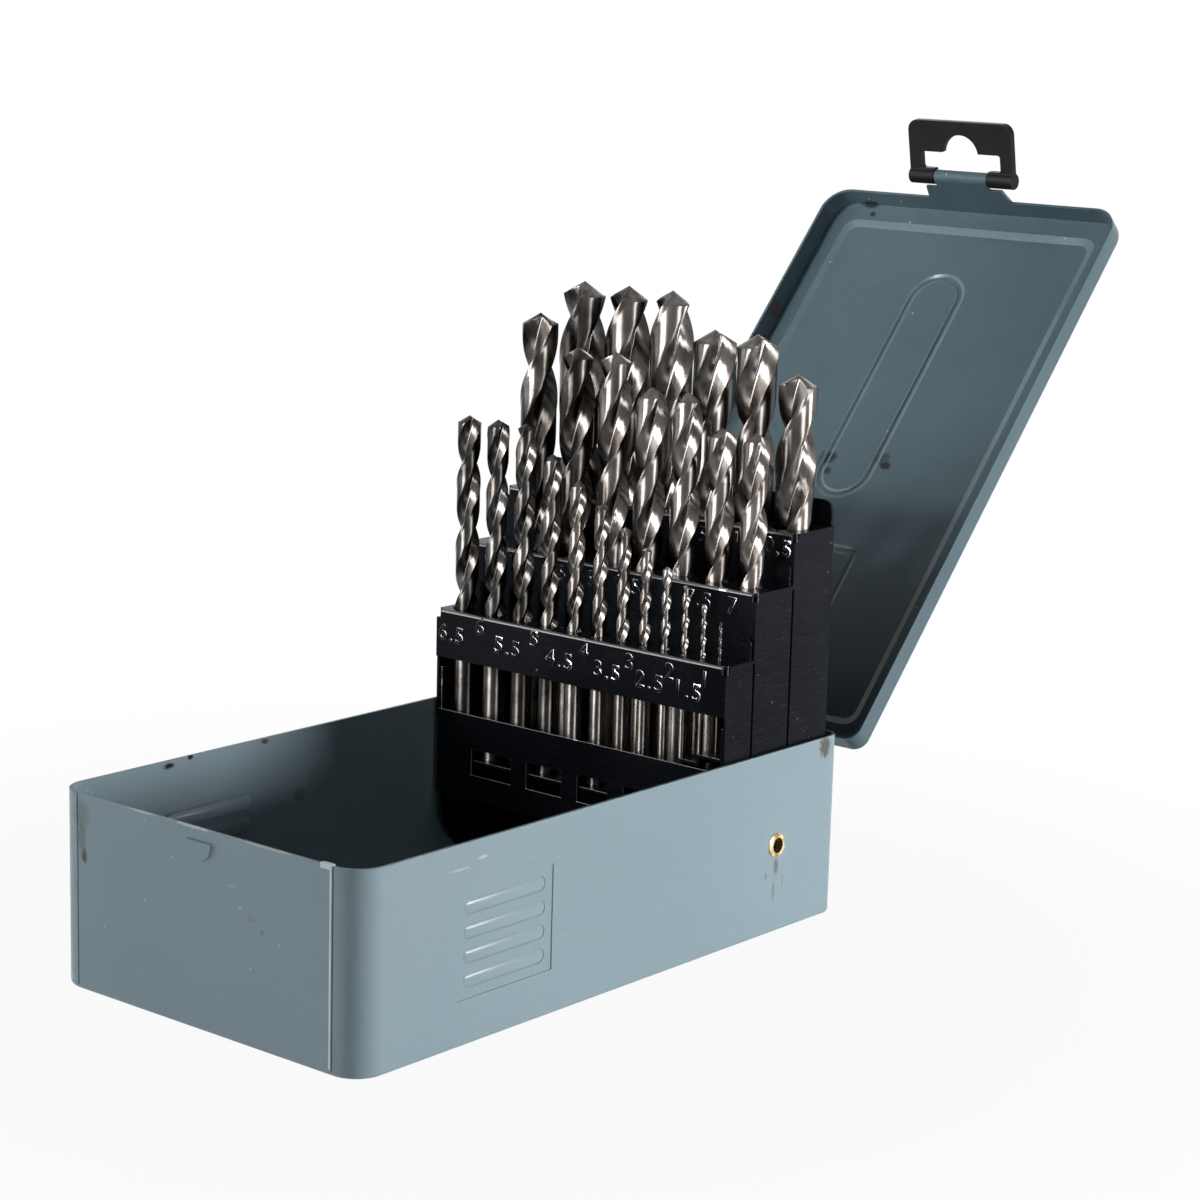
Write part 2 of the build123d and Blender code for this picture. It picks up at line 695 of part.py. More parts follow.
for n in range(3):
    for entry, x in zip(tier_bits[n], tier_places[n]):
        diameter, length, flute = entry
        seat = seat_height(n, entry) + bit_seat_gap
        name = f"drill_{diameter:.1f}".replace(".", "_")
        finish(twist_bit(diameter, length, flute, x, tier_middles[n], seat), name, steel)
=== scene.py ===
import json
from math import cos, pi, radians, sin, tan

import bmesh
import bpy
from mathutils import Matrix, Vector

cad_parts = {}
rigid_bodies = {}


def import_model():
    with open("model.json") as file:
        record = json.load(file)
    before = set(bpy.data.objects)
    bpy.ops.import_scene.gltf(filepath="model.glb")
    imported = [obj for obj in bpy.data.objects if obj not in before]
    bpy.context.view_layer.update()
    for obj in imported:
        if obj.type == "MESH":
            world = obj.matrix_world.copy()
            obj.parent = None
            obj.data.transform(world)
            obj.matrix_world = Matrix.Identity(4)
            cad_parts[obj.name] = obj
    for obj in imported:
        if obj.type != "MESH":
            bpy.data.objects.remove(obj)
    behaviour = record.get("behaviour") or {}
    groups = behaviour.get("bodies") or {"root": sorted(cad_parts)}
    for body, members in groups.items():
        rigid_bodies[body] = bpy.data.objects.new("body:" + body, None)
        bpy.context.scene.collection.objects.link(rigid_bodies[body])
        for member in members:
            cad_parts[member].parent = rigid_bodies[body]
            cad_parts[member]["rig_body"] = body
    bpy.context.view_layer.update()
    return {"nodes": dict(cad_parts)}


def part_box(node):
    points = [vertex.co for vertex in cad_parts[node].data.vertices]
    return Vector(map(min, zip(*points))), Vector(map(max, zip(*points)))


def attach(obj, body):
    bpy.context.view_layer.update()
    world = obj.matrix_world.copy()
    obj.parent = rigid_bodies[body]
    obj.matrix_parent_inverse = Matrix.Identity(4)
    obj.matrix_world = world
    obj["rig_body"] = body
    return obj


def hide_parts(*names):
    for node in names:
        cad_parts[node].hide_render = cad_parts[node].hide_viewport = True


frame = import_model()

MM = 0.001

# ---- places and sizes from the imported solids, in millimetres and degrees ----
CASE_SIDE_X = 51.0
LID_OPEN_ANGLE = 132.0
HINGE_Y, HINGE_Z = 92.85, 46.0
# the lid's own frame: from the hinge axis, as if the lid lay closed along -Y
LID_FRAME = (
    Matrix.Translation(Vector((0, HINGE_Y, HINGE_Z)))
    @ Matrix.Rotation(-radians(LID_OPEN_ANGLE), 4, "X")
)
LID_REAR_Y, LID_FRONT_Y = -2.35, -184.95
FIELD_INNER_Z = 9.8      # the underside of the lid's raised field

FRONT_BITS = ["6_5", "6_0", "5_5", "5_0", "4_5", "4_0", "3_5", "3_0", "2_5", "2_0", "1_5", "1_0"]
MIDDLE_BITS = ["10_0", "9_5", "9_0", "8_5", "8_0", "7_5", "7_0"]
REAR_BITS = ["13_0", "12_5", "12_0", "11_5", "11_0", "10_5"]
FLUTE_LENGTHS = {
    "13_0": 101, "12_5": 101, "12_0": 101, "11_5": 94, "11_0": 94, "10_5": 87, "10_0": 87,
    "9_5": 81, "9_0": 81, "8_5": 75, "8_0": 75, "7_5": 69, "7_0": 69, "6_5": 57, "6_0": 57,
    "5_5": 57, "5_0": 52, "4_5": 47, "4_0": 43, "3_5": 39, "3_0": 33, "2_5": 30, "2_0": 24,
    "1_5": 18, "1_0": 12,
}


def on_lid(x, y, z):
    """Where the open lid holds a point of its own frame."""
    return tuple(LID_FRAME @ Vector((x, y, z)))


# ---- node trees ----
class Tree:
    """Adds nodes to a tree and joins them, a line for each node."""

    def __init__(self, tree):
        self.tree = tree

    def node(self, kind, inputs=None, **settings):
        made = self.tree.nodes.new(kind)
        for name, value in settings.items():
            setattr(made, name, value)
        for name, value in (inputs or {}).items():
            self.put(made.inputs[name], value)
        return made

    def put(self, socket, value):
        if isinstance(value, bpy.types.NodeSocket):
            self.tree.links.new(value, socket)
        else:
            socket.default_value = value

    def math(self, operation, *values):
        made = self.node("ShaderNodeMath", operation=operation)
        for socket, value in zip(made.inputs, values):
            self.put(socket, value)
        return made.outputs[0]


def new_finish(name):
    """A new material, as (material, tree, surface shader, Object coordinates)."""
    material = bpy.data.materials.new(name)
    material.use_nodes = True
    tree = Tree(material.node_tree)
    shader = material.node_tree.nodes["Principled BSDF"]
    where = tree.node("ShaderNodeTexCoord").outputs["Object"]
    return material, tree, shader, where


def ramp(tree, value, *stops):
    """A colour ramp over value, with stops of (position, colour)."""
    made = tree.node("ShaderNodeValToRGB", {"Fac": value})
    elements = made.color_ramp.elements
    while len(elements) < len(stops):
        elements.new(0.5)
    for element, (position, colour) in zip(elements, stops):
        element.position = position
        element.color = (*colour, 1.0)
    return made.outputs["Color"]


def mask(tree, value, low, high):
    """0 at low and 1 at high, with a smooth step between."""
    return tree.node(
        "ShaderNodeMapRange", {"Value": value, "From Min": low, "From Max": high},
        interpolation_type="SMOOTHSTEP",
    ).outputs[0]


def mix(tree, factor, first, second):
    made = tree.node("ShaderNodeMix", data_type="RGBA")
    tree.put(made.inputs["Factor"], factor)
    tree.put(made.inputs["A"], first)
    tree.put(made.inputs["B"], second)
    return made.outputs["Result"]


def cover(tree, base, shown, strength, colour):
    """Lays a colour over base where shown is 1, at this strength."""
    return mix(tree, tree.math("MULTIPLY", shown, strength), base, (*colour, 1.0))


def noise(tree, where, scale, detail=3.0, roughness=0.5):
    inputs = {"Vector": where, "Scale": scale, "Detail": detail, "Roughness": roughness}
    return tree.node("ShaderNodeTexNoise", inputs).outputs["Fac"]


def stretched(tree, where, scale):
    """Coordinates scaled along each axis, so that a pattern draws out along the smallest."""
    return tree.node("ShaderNodeMapping", {"Vector": where, "Scale": scale}).outputs[0]


def specks(tree, where, scale, size, share):
    """Small round spots, on a share of the cells of a grid of that scale."""
    cells = tree.node("ShaderNodeTexVoronoi", {"Vector": where, "Scale": scale})
    near = mask(tree, cells.outputs["Distance"], size, size * 0.55)
    chosen = tree.node("ShaderNodeSeparateColor", {"Color": cells.outputs["Color"]}).outputs[0]
    return tree.math("MULTIPLY", near, tree.math("LESS_THAN", chosen, share))


def scratches(tree, where, scale, stretch, width):
    """Fine lines across one axis: the thin middle level of a stretched noise."""
    level = noise(tree, stretched(tree, where, stretch), scale, detail=2.0)
    off = tree.math("ABSOLUTE", tree.math("SUBTRACT", level, 0.5))
    return mask(tree, off, width, 0.0)


def measure(tree, operation, vector, other=None):
    """A vector node for one operation, with a constant second vector."""
    made = tree.node("ShaderNodeVectorMath", {"Vector": vector}, operation=operation)
    if other is not None:
        made.inputs[1].default_value = other
    return made.outputs["Value" if operation == "LENGTH" else "Vector"]


def stain(tree, where, base, middle, reach, colour, strength):
    """Dirt in one place, with a broken edge: its middle and its reach along each axis in mm."""
    moved = measure(tree, "SUBTRACT", where, [m * MM for m in middle])
    scaled = measure(tree, "DIVIDE", moved, [r * MM for r in reach])
    distance = measure(tree, "LENGTH", scaled)
    ragged = noise(tree, where, scale=900.0, detail=6.0, roughness=0.75)
    broken = tree.math("MULTIPLY_ADD", ragged, 1.3, distance)
    return cover(tree, base, mask(tree, broken, 1.45, 1.05), strength, colour)


def set_roughness(tree, shader, tone, change, least):
    tree.put(shader.inputs["Roughness"], tree.math("MULTIPLY_ADD", tone, change, least))


def bump(tree, shader, height, distance, strength):
    made = tree.node(
        "ShaderNodeBump", {"Height": height, "Distance": distance, "Strength": strength}
    )
    tree.put(shader.inputs["Normal"], made.outputs["Normal"])


# ---- finishes ----
SCRATCH_PALE = (0.75, 0.78, 0.78)
CHIP_BROWN = (0.055, 0.04, 0.03)
DUST_PALE = (0.72, 0.74, 0.73)
RACK_SCRATCH = (0.35, 0.36, 0.38)
RACK_DUST = (0.45, 0.46, 0.46)
# the shanks sit inside the rack under its flaps and are painted nearly black as shade
SHANK_SHADE = (0.012, 0.011, 0.010)
# the steel's tones are painted far darker than bare steel, for the dark surroundings that it
# reflects; the flutes' tones are darker still, as shade in their hollows
LAND_TONES = [
    (0.35, (0.048, 0.042, 0.038)), (0.5, (0.090, 0.081, 0.075)), (0.65, (0.15, 0.140, 0.132)),
]
FLUTE_SHADED_TONES = [
    (0.40, (0.012, 0.011, 0.010)), (0.52, (0.046, 0.042, 0.039)), (0.66, (0.12, 0.114, 0.109)),
]


def enamel(name, tones, chip_share, shine, least_rough=0.12, streaks=0.06, marks=()):
    """Sprayed enamel on sheet steel: a slow change of tone, orange peel, scratches and chips."""
    material, tree, shader, where = new_finish(name)
    tone = noise(tree, where, scale=14.0, detail=4.0, roughness=0.55)
    low_tone, high_tone = tones
    base = ramp(tree, tone, (0.3, low_tone), (0.7, high_tone))
    streak = scratches(tree, where, scale=60.0, stretch=(1.0, 1.0, 9.0), width=0.008)
    base = cover(tree, base, streak, streaks, SCRATCH_PALE)
    chips = specks(tree, where, scale=190.0, size=0.16, share=chip_share)
    base = cover(tree, base, chips, 0.8, CHIP_BROWN)
    dust = specks(tree, where, scale=420.0, size=0.18, share=chip_share * 2.0)
    base = cover(tree, base, dust, 0.45, DUST_PALE)
    for mark in marks:
        base = stain(tree, where, base, *mark)
    tree.put(shader.inputs["Base Color"], base)
    set_roughness(tree, shader, tone, change=0.2, least=least_rough)
    shader.inputs["Specular IOR Level"].default_value = shine
    peel = noise(tree, where, scale=900.0, detail=2.0)
    height = tree.math("MULTIPLY_ADD", peel, 0.35, tree.math("MULTIPLY", tone, 0.65))
    bump(tree, shader, tree.math("SUBTRACT", height, chips), distance=0.0001, strength=0.2)
    return material


def worn_and_highlit_edge(name, paint, metal, share, roughness=0.28, shine=0.5):
    """The rubbed edge of a painted sheet: paint broken by bare metal. The edge's paint, paler on
    the case and the lid, and its bare metal are partly wear and partly a painted highlight along
    the edge.
    """
    material, tree, shader, where = new_finish(name)
    rubbed = noise(tree, where, scale=160.0, detail=5.0, roughness=0.65)
    worn_and_highlit = mask(tree, rubbed, 1.0 - share, 1.0 - share + 0.08)
    tree.put(shader.inputs["Base Color"], mix(tree, worn_and_highlit, (*paint, 1.0), (*metal, 1.0)))
    tree.put(shader.inputs["Metallic"], tree.math("MULTIPLY", worn_and_highlit, 0.8))
    shader.inputs["Roughness"].default_value = roughness
    shader.inputs["Specular IOR Level"].default_value = shine
    bump(tree, shader, worn_and_highlit, distance=-0.00005, strength=0.4)
    return material


def rack_enamel(name):
    """Glossy blue-black enamel, dusty, with fine pale scratches."""
    material, tree, shader, where = new_finish(name)
    tone = noise(tree, where, scale=30.0, detail=4.0)
    base = ramp(tree, tone, (0.3, (0.004, 0.0045, 0.007)), (0.75, (0.009, 0.010, 0.015)))
    streak = scratches(tree, where, scale=90.0, stretch=(1.0, 1.0, 12.0), width=0.01)
    base = cover(tree, base, streak, 0.06, RACK_SCRATCH)
    dust = specks(tree, where, scale=300.0, size=0.16, share=0.04)
    base = cover(tree, base, dust, 0.7, RACK_DUST)
    tree.put(shader.inputs["Base Color"], base)
    set_roughness(tree, shader, tone, change=0.2, least=0.14)
    shader.inputs["Specular IOR Level"].default_value = 0.05
    shader.inputs["Specular Tint"].default_value = (0.78, 0.86, 1.0, 1.0)
    peel = noise(tree, where, scale=260.0)
    bump(tree, shader, tree.math("ADD", peel, dust), distance=0.00012, strength=0.2)
    return material


def drill_steel(name):
    """High-speed steel with rings on its ground lands: all its tones painted far darker than bare
    steel for the dark surroundings it reflects, its flutes darker still as painted shade in their
    hollows, and its shanks nearly black as painted shade inside the rack.
    """
    material, tree, shader, where = new_finish(name)
    tone = noise(tree, stretched(tree, where, (1.0, 1.0, 0.12)), scale=420.0)
    blotch = noise(tree, where, scale=90.0)
    mixed = tree.math("MULTIPLY_ADD", blotch, 0.6, tree.math("MULTIPLY", tone, 0.4))
    land = ramp(tree, mixed, *LAND_TONES)
    flute = ramp(tree, mixed, *FLUTE_SHADED_TONES)
    depth = tree.node("ShaderNodeAttribute", attribute_name="flute_depth").outputs["Fac"]
    shank = tree.node("ShaderNodeAttribute", attribute_name="shank").outputs["Fac"]
    # the flutes' hollows are painted darker, as shade
    base = mix(tree, mask(tree, depth, 0.05, 0.2), land, flute)
    # the shanks are painted nearly black, as the shade inside the rack
    tree.put(shader.inputs["Base Color"], cover(tree, base, shank, 0.75, SHANK_SHADE))
    shader.inputs["Metallic"].default_value = 1.0
    # the lands and shanks are ground round the axis, so their highlights run along it
    shader.inputs["Anisotropic"].default_value = 0.8
    shader.inputs["Anisotropic Rotation"].default_value = 0.25
    around = tree.node("ShaderNodeTangent", direction_type="RADIAL", axis="Z").outputs[0]
    tree.put(shader.inputs["Tangent"], around)
    set_roughness(tree, shader, tone, change=0.12, least=0.22)
    rings = noise(tree, stretched(tree, where, (0.05, 0.05, 1.0)), scale=2600.0, detail=2.0)
    bump(tree, shader, rings, distance=0.00001, strength=0.2)
    return material


def moulded_plastic(name):
    """Black plastic with a faint moulded grain."""
    material, tree, shader, where = new_finish(name)
    tone = noise(tree, where, scale=90.0)
    base = ramp(tree, tone, (0.3, (0.006, 0.006, 0.006)), (0.7, (0.012, 0.011, 0.011)))
    tree.put(shader.inputs["Base Color"], base)
    set_roughness(tree, shader, tone, change=0.2, least=0.36)
    shader.inputs["Specular IOR Level"].default_value = 0.05
    bump(tree, shader, noise(tree, where, scale=2200.0), distance=0.00003, strength=0.4)
    return material


def plain_metal(name, dark, light, least_rough):
    """Brass or wire: bright metal with a little tarnish."""
    material, tree, shader, where = new_finish(name)
    tone = noise(tree, where, scale=500.0, detail=4.0)
    tree.put(shader.inputs["Base Color"], ramp(tree, tone, (0.35, dark), (0.6, light)))
    shader.inputs["Metallic"].default_value = 1.0
    set_roughness(tree, shader, tone, change=0.15, least=least_rough)
    grain = noise(tree, where, scale=1500.0, detail=2.0)
    bump(tree, shader, grain, distance=0.00002, strength=0.4)
    return material


OLIVE, SOOT, RUST = (0.10, 0.09, 0.045), (0.012, 0.012, 0.012), (0.12, 0.075, 0.045)
PALE = (0.75, 0.78, 0.78)
# each mark: its middle in mm, its reach along each axis in mm, its colour and its strength
CASE_MARKS = [
    # an old stain down the left edge of the front wall
    ((-41.5, -90.0, 44.0), (5.0, 3.0, 5.5), OLIVE, 0.3),
    ((-41.3, -90.5, 38.5), (2.2, 2.0, 6.5), OLIVE, 0.4),
    ((-40.6, -90.5, 33.8), (1.6, 2.0, 2.6), OLIVE, 0.85),
    # chips along the left rim, and dirt on the inside of that wall
    ((-50.6, -54.9, 47.6), (1.5, 3.2, 1.3), SOOT, 0.95),
    ((-50.6, -47.7, 48.6), (1.5, 1.5, 1.0), SOOT, 0.95),
    ((-50.6, -22.1, 48.1), (1.5, 2.4, 1.4), RUST, 0.95),
    ((-50.2, -2.0, 34.6), (1.2, 9.0, 6.5), RUST, 0.14),
    ((-50.2, -9.5, 31.5), (1.2, 3.2, 3.2), RUST, 0.3),
    # rust that has run down from the right rivet
    ((51.0, 63.7, 18.0), (1.2, 1.6, 3.4), RUST, 0.6),
    ((51.0, 62.9, 11.5), (1.2, 0.8, 4.5), RUST, 0.4),
    ((51.0, 59.5, 16.0), (1.2, 0.7, 2.0), SOOT, 0.3),
    ((51.0, 66.9, 13.5), (1.2, 0.5, 3.0), RUST, 0.3),
    # small spots on the front wall
    ((17.0, -90.5, 31.0), (2.4, 1.2, 1.4), RUST, 0.15),
    ((20.5, -90.5, 28.5), (1.0, 1.2, 0.9), SOOT, 0.2),
    ((13.5, -90.5, 33.0), (1.0, 1.2, 0.7), PALE, 0.3),
    # a stain at the rear of the right rim
    ((51.0, 83.5, 46.5), (1.6, 3.6, 4.4), OLIVE, 0.85),
    # paint rubbed pale along the front rim, by the catch and over the right grips
    ((-3.0, -90.5, 49.0), (9.0, 1.6, 0.7), PALE, 0.8),
    ((-20.0, -90.5, 49.0), (8.0, 1.2, 0.5), PALE, 0.55),
    ((22.0, -90.5, 49.0), (13.0, 1.2, 0.5), PALE, 0.55),
    ((10.6, -90.5, 37.5), (2.4, 1.2, 0.5), PALE, 0.15),
    ((51.0, -50.0, 44.5), (1.2, 3.0, 0.6), PALE, 0.4),
    ((51.0, -58.0, 43.0), (1.2, 5.0, 0.5), PALE, 0.3),
]
LID_MARKS = [
    # two pairs of spots beside the foot of the long bead
    (on_lid(-7.8, -92.6, 9.8), (4.4, 3.6, 3.6), SOOT, 0.85),
    (on_lid(-5.8, -88.0, 9.8), (2.2, 2.2, 2.2), SOOT, 0.7),
    (on_lid(10.0, -94.8, 9.8), (4.6, 3.2, 3.2), SOOT, 0.55),
    (on_lid(12.4, -92.4, 9.8), (2.6, 2.0, 2.0), SOOT, 0.9),
    # a pair at the far left corner
    (on_lid(-38.5, -184.3, 9.0), (5.0, 2.6, 2.6), SOOT, 0.85),
    (on_lid(-36.2, -180.4, 9.4), (2.0, 1.6, 1.6), SOOT, 0.8),
    # rust on the left skirt
    (on_lid(-50.0, -140.0, 6.0), (1.6, 5.0, 5.0), RUST, 0.7),
    (on_lid(-50.0, -118.0, 5.0), (1.6, 3.0, 3.0), RUST, 0.7),
]
# the low and the high tone of each paint
CASE_TONES = ((0.262, 0.345, 0.388), (0.283, 0.368, 0.412))
# the lid's paint is the case's paint, painted far darker as the shade inside the open lid
LID_SHADED_TONES = ((0.082, 0.128, 0.152), (0.104, 0.154, 0.180))
# the paler lid paint of the beads and the flank is a painted highlight
LID_HIGHLIGHT_TONES = ((0.130, 0.190, 0.217), (0.160, 0.225, 0.252))

case_enamel = enamel("case_enamel", CASE_TONES, chip_share=0.008, shine=0.05, marks=CASE_MARKS)
# the open lid's inside: its paint darkened as painted shade, with its stains
lid_shaded_enamel = enamel(
    "lid_shaded_enamel", LID_SHADED_TONES, chip_share=0.010, shine=0.14, streaks=0.03, marks=LID_MARKS
)
# a paler copy of the lid's paint where the sheet is pressed: a painted highlight on the beads and
# the flank
lid_highlight_paint = enamel("lid_highlight_paint", LID_HIGHLIGHT_TONES, chip_share=0.010, shine=0.14)
case_press = enamel("case_press", CASE_TONES, chip_share=0.008, shine=0.13, least_rough=0.1)
# the case's and the lid's eased edges: paler paint and bare metal, partly wear and partly a
# painted highlight
case_edge_wear_and_highlight = worn_and_highlit_edge("case_edge_wear_and_highlight", (0.60, 0.68, 0.71), (0.80, 0.79, 0.76), share=0.36)
lid_edge_wear_and_highlight = worn_and_highlit_edge("lid_edge_wear_and_highlight", (0.24, 0.30, 0.33), (0.50, 0.50, 0.48), share=0.25)
rack_black = rack_enamel("rack_black")
# the digits' sides: bare metal, partly wear and partly painted glints
digit_edge_wear_and_glint = worn_and_highlit_edge(
    "digit_edge_wear_and_glint", (0.03, 0.03, 0.035), (0.60, 0.60, 0.62), share=0.48, roughness=0.25
)
# the rack's eased edges and front folds: bare metal, partly wear and partly a painted highlight
rack_edge_wear_and_highlight = worn_and_highlit_edge(
    "rack_edge_wear_and_highlight", (0.006, 0.006, 0.009), (0.50, 0.50, 0.50), share=0.40, roughness=0.25, shine=1.0
)
hang_black = moulded_plastic("hang_black")
eyelet_brass = plain_metal(
    "eyelet_brass", (0.45, 0.32, 0.12), (0.90, 0.76, 0.48), least_rough=0.15
)
pin_steel = plain_metal(
    "pin_steel", (0.30, 0.30, 0.31), (0.58, 0.58, 0.58), least_rough=0.22
)
flute_steel = drill_steel("flute_steel")


# ---- meshes and objects ----
def add_object(name, data):
    thing = bpy.data.objects.new(name, data)
    bpy.context.scene.collection.objects.link(thing)
    return thing


def finished_mesh(thing):
    """The plain mesh of an object, with its modifiers or its curve's thickness applied."""
    bpy.context.view_layer.update()
    shown = thing.evaluated_get(bpy.context.evaluated_depsgraph_get())
    return bpy.data.meshes.new_from_object(shown)


def settle(thing):
    """Applies an object's modifiers to its mesh."""
    mesh = finished_mesh(thing)
    thing.modifiers.clear()
    thing.data = mesh


def to_mesh(body, name):
    mesh = bpy.data.meshes.new(name)
    body.to_mesh(mesh)
    body.free()
    return mesh


def to_metres(mesh, where=None):
    """Scales a mesh from millimetres, after moving it into its frame."""
    if where is not None:
        mesh.transform(where)
    mesh.transform(Matrix.Scale(MM, 4))
    return mesh


def paint(mesh, *finishes):
    mesh.materials.clear()
    for finish in finishes:
        mesh.materials.append(finish)


def smooth(mesh, crease=None):
    """Shades a mesh smoothly, but for edges sharper than the crease in degrees."""
    for polygon in mesh.polygons:
        polygon.use_smooth = True
    if crease is not None:
        mesh.set_sharp_from_angle(angle=radians(crease))


def place(name, mesh, body):
    """Links a finished mesh as a piece of one body."""
    thing = add_object(name, mesh)
    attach(thing, body)


def rounded_loop(width, length, radius, middle, steps=8):
    """Points round a rectangle with rounded corners, anticlockwise, about (0, middle)."""
    points = []
    for corner in range(4):
        x = (width / 2 - radius) * (1 if corner in (0, 3) else -1)
        y = (length / 2 - radius) * (1 if corner in (0, 1) else -1)
        for step in range(steps + 1):
            turn = radians(90 * corner + 90 * step / steps)
            points.append((x + radius * cos(turn), middle + y + radius * sin(turn)))
    return points


def capsule_mesh(length, half_width, half_depth, middle):
    """A flattened capsule along Y, whose thin way is X."""
    body = bmesh.new()
    bmesh.ops.create_uvsphere(body, u_segments=24, v_segments=16, radius=half_width)
    bmesh.ops.rotate(body, verts=body.verts, matrix=Matrix.Rotation(radians(90), 3, "X"))
    for vertex in body.verts:
        # the middle ring stays, and each half moves out to its end
        if abs(vertex.co.y) > 0.001 * half_width:
            vertex.co.y += (length / 2 - half_width) * (1 if vertex.co.y > 0 else -1)
        vertex.co.x *= half_depth / half_width
        vertex.co += Vector(middle)
    bmesh.ops.recalc_face_normals(body, faces=body.faces)
    return to_mesh(body, "capsule")


# ---- pressed and folded sheet ----
NODE_JOIN_REACH = 0.002  # mm within which a node's loose corners are one
JOIN_REACH = 0.001       # the same for a mesh that is made here
FLAT_ANGLE = 0.6         # degrees within which two facets are one flat face
EASED_ANGLE = 35         # edges sharper than this are eased
CREASE_ANGLE = 32        # and edges that stay sharper than this are shaded sharp


def joined_copy(node):
    """A copy of a node's mesh, with its loose triangles joined into flat faces."""
    mesh = frame["nodes"][node].data.copy()
    body = bmesh.new()
    body.from_mesh(mesh)
    bmesh.ops.remove_doubles(body, verts=body.verts, dist=NODE_JOIN_REACH * MM)
    bmesh.ops.dissolve_limit(
        body, angle_limit=radians(FLAT_ANGLE), verts=body.verts, edges=body.edges,
        use_dissolve_boundaries=False,
    )
    body.to_mesh(mesh)
    body.free()
    return mesh


def press_tool(name, data, finish, where=None):
    """An object that presses another one, and leaves this finish in the pressed place."""
    source = add_object(name, data)
    mesh = finished_mesh(source)
    bpy.data.objects.remove(source)
    body = bmesh.new()
    body.from_mesh(to_metres(mesh, where))
    bmesh.ops.remove_doubles(body, verts=body.verts, dist=JOIN_REACH * MM)
    bmesh.ops.recalc_face_normals(body, faces=body.faces)
    body.to_mesh(mesh)
    body.free()
    mesh.materials.append(finish)
    return add_object(name, mesh)


def press(sheet, tools):
    for tool in tools:
        cut = sheet.modifiers.new(tool.name, "BOOLEAN")
        cut.operation = "DIFFERENCE"
        cut.solver = "EXACT"
        cut.object = tool
        cut.material_mode = "TRANSFER"


def ease_edges(sheet, width):
    bevel = sheet.modifiers.new("ease", "BEVEL")
    bevel.width = width * MM
    bevel.segments = 2
    bevel.limit_method = "ANGLE"
    bevel.angle_limit = radians(EASED_ANGLE)
    # the eased edges take the second finish, partly wear and partly a painted highlight
    bevel.material = 1


def keep_flats_even(sheet):
    """A wide flat face keeps its own normal up to its eased edge."""
    even = sheet.modifiers.new("even", "WEIGHTED_NORMAL")
    even.mode = "FACE_AREA"
    even.weight = 100
    even.keep_sharp = True


def is_front_fold(normal):
    """Whether a facet is on the fold between a tier's plate and its front flap."""
    return 0.15 < normal.z < 0.97 and abs(normal.x) < 0.1 and normal.y < 0


def eased(node, face, edge, ease, tools=(), fold=False):
    """Shows a node pressed by its tools, with its edges, and its front fold, eased and given the
    edge finish, whose rubbed paint and bare metal are partly wear and partly a painted highlight.
    """
    mesh = joined_copy(node)
    paint(mesh, face, edge)
    for polygon in mesh.polygons:
        # the front fold takes the edge finish too: a painted highlight along the fold as well as
        # wear
        polygon.material_index = 1 if fold and is_front_fold(polygon.normal) else 0
    smooth(mesh)
    holder = add_object(node + "_sheet", mesh)
    press(holder, tools)
    ease_edges(holder, ease)
    settle(holder)
    for tool in tools:
        bpy.data.objects.remove(tool)
    holder.data.set_sharp_from_angle(angle=radians(CREASE_ANGLE))
    keep_flats_even(holder)
    settle(holder)
    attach(holder, frame["nodes"][node]["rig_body"])
    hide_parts(node)


# ---- case ----
GRIP_MIDDLE_Y, GRIP_MIDDLE_Z, GRIP_PITCH = -41.75, 24.5, 5.9
GRIP_HEIGHTS = [GRIP_MIDDLE_Z + GRIP_PITCH * (n - 1.5) for n in range(4)]
# length, half the width and depth of a grip's groove outside, and of its ridge inside
GRIP_GROOVE = (28.5, 1.9, 1.05)
GRIP_RIDGE = (29.5, 2.2, 1.15)
GRIP_RIDGE_X = 49.75
# size and middle of the front panel's edge at the seam, and of the tab rolled over the rim
SEAM_EDGE = ((0.7, 0.16, 46.8), (42.3, -90.52, 25.0))
RIM_TAB = ((3.6, 1.3, 1.3), (41.0, -90.15, 48.75))


def grip_tools(side):
    """Round-bottomed grooves for the fingers, pressed into one side wall from outside."""
    return [
        press_tool(
            f"grip_tool_{side}_{n}",
            capsule_mesh(*GRIP_GROOVE, (side * CASE_SIDE_X, GRIP_MIDDLE_Y, z)), case_press,
        )
        for n, z in enumerate(GRIP_HEIGHTS)
    ]


def grip_ridges(side, name):
    """The same pressings, seen from inside as four round ridges."""
    body = bmesh.new()
    for z in GRIP_HEIGHTS:
        body.from_mesh(capsule_mesh(*GRIP_RIDGE, (side * GRIP_RIDGE_X, GRIP_MIDDLE_Y, z)))
    mesh = to_mesh(body, name)
    paint(mesh, case_press)
    smooth(mesh)
    place(name, to_metres(mesh), "case")


def seam_fold():
    """The edge of the front panel beside its right seam, and the tab rolled over the rim."""
    body = bmesh.new()
    for size, middle in (SEAM_EDGE, RIM_TAB):
        made = bmesh.ops.create_cube(body, size=1.0)
        bmesh.ops.scale(body, vec=size, verts=made["verts"])
        bmesh.ops.translate(body, vec=middle, verts=made["verts"])
    bmesh.ops.bevel(body, geom=body.edges[:], offset=0.07, segments=2, affect="EDGES")
    mesh = to_mesh(body, "seam_fold")
    # the seam's edge and the rim tab take the paler edge paint, partly wear and partly a painted
    # highlight
    paint(mesh, case_edge_wear_and_highlight)
    smooth(mesh, crease=40)
    place("seam_fold", to_metres(mesh), "case")


def case_walls():
    tools = grip_tools(1) + grip_tools(-1)
    eased("case_body", case_enamel, case_edge_wear_and_highlight, ease=0.26, tools=tools)
    grip_ridges(1, "grip_ridges_right")
    grip_ridges(-1, "grip_ridges_left")
    eased("hinge_leaf", case_enamel, case_edge_wear_and_highlight, ease=0.12)


# ---- lid ----
BEAD_HALF_WIDTH, BEAD_DEPTH = 1.5, 0.42
